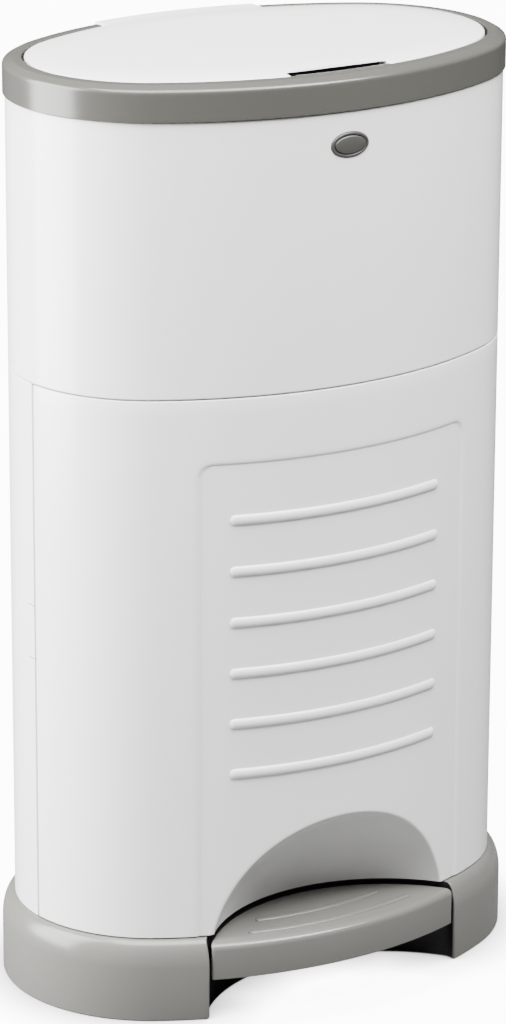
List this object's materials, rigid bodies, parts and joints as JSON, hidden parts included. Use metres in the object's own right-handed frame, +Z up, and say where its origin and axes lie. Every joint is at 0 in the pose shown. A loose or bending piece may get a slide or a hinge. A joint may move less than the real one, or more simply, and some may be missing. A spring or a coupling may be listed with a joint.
{
  "type": "nappy bin",
  "caption": "Oval pedal bin for nappies, with a push rod to its hinged lid, a film cassette under a hinged top unit with a release button, and a front door on the bag chamber.",
  "frame": {"origin": "on the floor, in the middle of the oval body's footprint", "axes": "+Z up; -Y is the front, with the pedal, the door and the button; +X to the right seen from the front"},
  "size_m": [0.3506, 0.2348, 0.6064],
  "materials": {
    "white_shell": "glossy white moulded plastic",
    "grey_moulding": "satin warm grey moulded plastic",
    "button_grey": "satin dark grey moulded plastic",
    "dark_moulding": "matt charcoal moulded plastic",
    "rubber": "matt black",
    "film": "pleated thin plastic film, pale blue",
    "steel": "bright zinc-plated steel"
  },
  "bodies": {
    "main_body": {"base_skirt": "grey_moulding", "floor_tray": "white_shell", "rubber_feet": "rubber", "base_screws": "steel", "rear_shell": "white_shell", "rod_cover": "white_shell", "rod_guide_low": "dark_moulding", "rod_guide_mid": "dark_moulding", "rod_guide_top": "dark_moulding", "pedal_bearing_left": "dark_moulding", "pedal_bearing_right": "dark_moulding", "pedal_axle": "steel", "pedal_return_spring": "steel", "door_catch": "white_shell", "door_hinge_pins": "steel", "upper_casing": "white_shell", "casing_screws": "steel", "cassette_tray": "white_shell", "film_cassette": "grey_moulding", "film_pack": "film", "cutter_housing": "grey_moulding", "cutter_blade": "steel", "hinge_bracket": "white_shell", "top_hinge_pin": "steel", "button_bezel": "button_grey", "latch_housing": "dark_moulding", "button_spring": "steel"},
    "pedal": {"pedal_pad": "grey_moulding", "pedal_lever": "steel", "lever_screws": "steel"},
    "rod": {"push_rod": "steel", "rod_foot": "dark_moulding", "rod_pad": "dark_moulding"},
    "door": {"door_panel": "white_shell"},
    "top_unit": {"rim_ring": "grey_moulding", "hopper": "dark_moulding", "hopper_screws": "steel", "latch_hook": "grey_moulding", "flap_pin_left": "steel", "flap_pin_right": "steel", "flap_spring_left": "steel", "flap_spring_right": "steel"},
    "lid": {"lid_panel": "white_shell", "lid_seal": "rubber", "lid_crank": "dark_moulding"},
    "flap_left": {"flap_left": "grey_moulding"},
    "flap_right": {"flap_right": "grey_moulding"},
    "button": {"release_button": "button_grey", "latch_slide": "dark_moulding"}
  },
  "joints": [
    {"name": "top_unit_hinge", "type": "hinge", "parent": "main_body", "child": "top_unit", "pos_m": [0, 0.1035, 0.5985], "axis": [-1, 0, 0], "range_deg": [0, 65]},
    {"name": "lid_hinge", "type": "hinge", "parent": "top_unit", "child": "lid", "pos_m": [0, 0.1035, 0.5985], "axis": [-1, 0, 0], "range_deg": [0, 75]},
    {"name": "pedal_hinge", "type": "hinge", "parent": "main_body", "child": "pedal", "pos_m": [0, -0.03, 0.03], "axis": [1, 0, 0], "range_deg": [0, 9.01], "stiffness_Nm_per_rad": 0.4, "springref_deg": -11.46},
    {"name": "rod_slide", "type": "slide", "parent": "main_body", "child": "rod", "axis": [0, 0, 1], "range_m": [0, 0.019]},
    {"name": "door_hinge", "type": "hinge", "parent": "main_body", "child": "door", "pos_m": [0.1632, 0, 0.23], "axis": [0, 0, 1], "range_deg": [0, 100]},
    {"name": "flap_left_hinge", "type": "hinge", "parent": "top_unit", "child": "flap_left", "pos_m": [-0.057, -0.004, 0.5025], "axis": [0, 1, 0], "range_deg": [0, 60], "stiffness_Nm_per_rad": 0.02, "springref_deg": -34.38},
    {"name": "flap_right_hinge", "type": "hinge", "parent": "top_unit", "child": "flap_right", "pos_m": [0.057, -0.004, 0.5025], "axis": [0, -1, 0], "range_deg": [0, 60], "stiffness_Nm_per_rad": 0.02, "springref_deg": -34.38},
    {"name": "button_slide", "type": "slide", "parent": "main_body", "child": "button", "axis": [0, 1, 0], "range_m": [0, 0.003], "stiffness_N_per_m": 150, "springref_m": -0.004}
  ],
  "couplings": [
    {"joint": "pedal_hinge", "follows": "lid_hinge", "ratio": 0.12},
    {"joint": "rod_slide", "follows": "lid_hinge", "m_per_rad": 0.014496}
  ]
}
